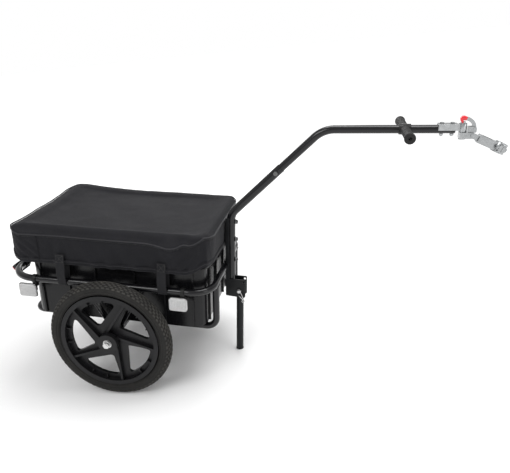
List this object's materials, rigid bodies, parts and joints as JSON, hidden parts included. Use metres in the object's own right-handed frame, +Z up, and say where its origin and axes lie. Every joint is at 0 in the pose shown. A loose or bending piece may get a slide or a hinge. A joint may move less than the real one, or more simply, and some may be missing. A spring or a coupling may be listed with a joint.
{
  "type": "bicycle cargo trailer",
  "caption": "Bicycle cargo trailer: crate in a tubular steel frame on two moulded-spoke wheels, fabric cover, T-handle tow bar, seat-post hitch and folding stand leg.",
  "frame": {"origin": "on the ground, below the middle of the overall length and width, with the crate level", "axes": "+X towards the bicycle, +Y to the left of travel, +Z up"},
  "size_m": [1.5433, 0.613, 0.9043],
  "materials": {
    "frame_paint": "gloss black paint",
    "bracket_paint": "satin black paint",
    "dark_fastener": "dark zinc",
    "bright_steel": "bright zinc",
    "galvanised": "galvanised",
    "crate_plastic": "moulded, glossy",
    "cover_fabric": "woven polyester, coated",
    "webbing": "woven webbing",
    "black_plastic": "moulded",
    "grip_rubber": "soft rubber",
    "tyre_rubber": "tread and sidewall",
    "tube_rubber": "butyl",
    "wheel_plastic": "moulded nylon",
    "red_plastic": "dipped cap",
    "clear_reflector": "prismatic",
    "red_reflector": "prismatic"
  },
  "bodies": {
    "frame": {"upper_hoop": "frame_paint", "cradle_tube": "frame_paint", "axle_tube": "frame_paint", "right_wheel_bracket": "frame_paint", "left_wheel_bracket": "frame_paint", "mast_channel": "bracket_paint", "mast_bolts": "dark_fastener", "mast_nuts": "dark_fastener", "stand_bracket": "bracket_paint", "leg_washers": "bright_steel", "crate_stops": "bracket_paint", "crate": "crate_plastic", "tow_tube_lower": "frame_paint", "tow_tube_upper": "frame_paint", "tow_joint_bolt": "dark_fastener", "handle_bar": "frame_paint", "handle_tee": "black_plastic", "right_grip": "grip_rubber", "left_grip": "grip_rubber", "coupler_channel": "galvanised", "coupler_bolts": "galvanised", "right_axle_bolt": "bright_steel", "left_axle_bolt": "bright_steel", "axle_washers": "bright_steel", "reflector_clamps": "black_plastic", "reflector_backs": "black_plastic", "reflector_lenses": "clear_reflector", "rear_reflector_clamp": "black_plastic", "rear_reflector_body": "black_plastic", "rear_reflector_lens": "red_reflector"},
    "right_wheel": {"right_tyre": "tyre_rubber", "right_inner_tube": "tube_rubber", "right_rim": "wheel_plastic", "right_bearings": "bright_steel", "right_valve": "tube_rubber"},
    "left_wheel": {"left_tyre": "tyre_rubber", "left_inner_tube": "tube_rubber", "left_rim": "wheel_plastic", "left_bearings": "bright_steel", "left_valve": "tube_rubber"},
    "stand_leg": {"stand_leg": "bracket_paint", "stand_foot": "black_plastic"},
    "stand_pin": {"stand_pin": "bright_steel", "stand_pin_clip": "bright_steel"},
    "cover": {"cover": "cover_fabric", "right_straps": "webbing", "left_straps": "webbing"},
    "hitch_yoke": {"hitch_yoke": "galvanised", "hitch_pin": "galvanised", "hook_pin": "galvanised", "pitch_pin": "galvanised"},
    "lock_hook": {"lock_hook": "galvanised", "hook_cap": "red_plastic"},
    "hitch_swivel": {"swivel_eye": "galvanised", "swivel_nut": "galvanised"},
    "post_clamp": {"clamp_body": "galvanised", "clamp_jaw": "galvanised", "clamp_bolts": "galvanised"}
  },
  "joints": [
    {"name": "right_wheel_spin", "type": "hinge", "parent": "frame", "child": "right_wheel", "pos_m": [-0.37541, -0.262, 0.203], "axis": [0, 1, 0], "continuous": true},
    {"name": "left_wheel_spin", "type": "hinge", "parent": "frame", "child": "left_wheel", "pos_m": [-0.37541, 0.262, 0.203], "axis": [0, 1, 0], "continuous": true},
    {"name": "stand_fold", "type": "hinge", "parent": "frame", "child": "stand_leg", "pos_m": [-0.00741, 0, 0.283], "axis": [0, -1, 0], "range_deg": [0, 95]},
    {"name": "stand_pin_pull", "type": "slide", "parent": "frame", "child": "stand_pin", "axis": [0, -1, 0], "range_m": [0, 0.045]},
    {"name": "cover_lift", "type": "slide", "parent": "frame", "child": "cover", "axis": [0, 0, 1], "range_m": [0, 0.25], "deforming": ["right_straps", "left_straps"]},
    {"name": "hitch_yaw", "type": "hinge", "parent": "frame", "child": "hitch_yoke", "pos_m": [0.642, 0, 0.8676], "axis": [-0.0471, 0, 0.9989], "range_deg": [-90, 90]},
    {"name": "lock_hook_swing", "type": "hinge", "parent": "hitch_yoke", "child": "lock_hook", "pos_m": [0.67288, 0, 0.87106], "axis": [0, 1, 0], "range_deg": [0, 88]},
    {"name": "hitch_pitch", "type": "hinge", "parent": "hitch_yoke", "child": "hitch_swivel", "pos_m": [0.66982, 0, 0.8509], "axis": [0, 1, 0], "range_deg": [-22, 50]},
    {"name": "hitch_roll", "type": "hinge", "parent": "hitch_swivel", "child": "post_clamp", "pos_m": [0.66982, 0, 0.8509], "axis": [0.9317, 0, -0.3633], "range_deg": [-60, 60]}
  ]
}
